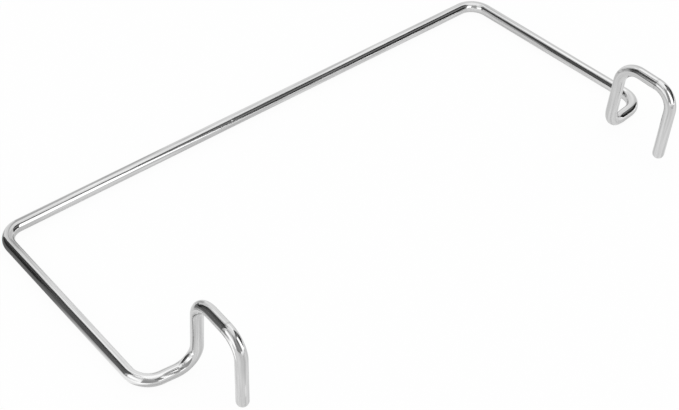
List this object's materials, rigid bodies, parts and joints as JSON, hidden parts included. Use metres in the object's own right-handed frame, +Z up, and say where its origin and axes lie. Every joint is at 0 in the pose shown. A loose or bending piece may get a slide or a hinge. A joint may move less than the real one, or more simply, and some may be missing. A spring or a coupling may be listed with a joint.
{
  "type": "hanging rack",
  "caption": "Hanging rack bent from one round wire: a straight bar, an arm at each end and a hook on each arm that drops over a rail or into a hole.",
  "frame": {"origin": "centre of the rack's footprint, on the plane on which the bar, arms and jogs lie flat", "axes": "+X along the bar, +Y from the hooks towards the bar, +Z up, the way the hooks rise"},
  "size_m": [0.3238, 0.1557, 0.0455],
  "materials": {
    "wire": "bright, with fine drawing lines along the wire"
  },
  "bodies": {
    "root": {"bent_wire": "wire"}
  },
  "joints": []
}
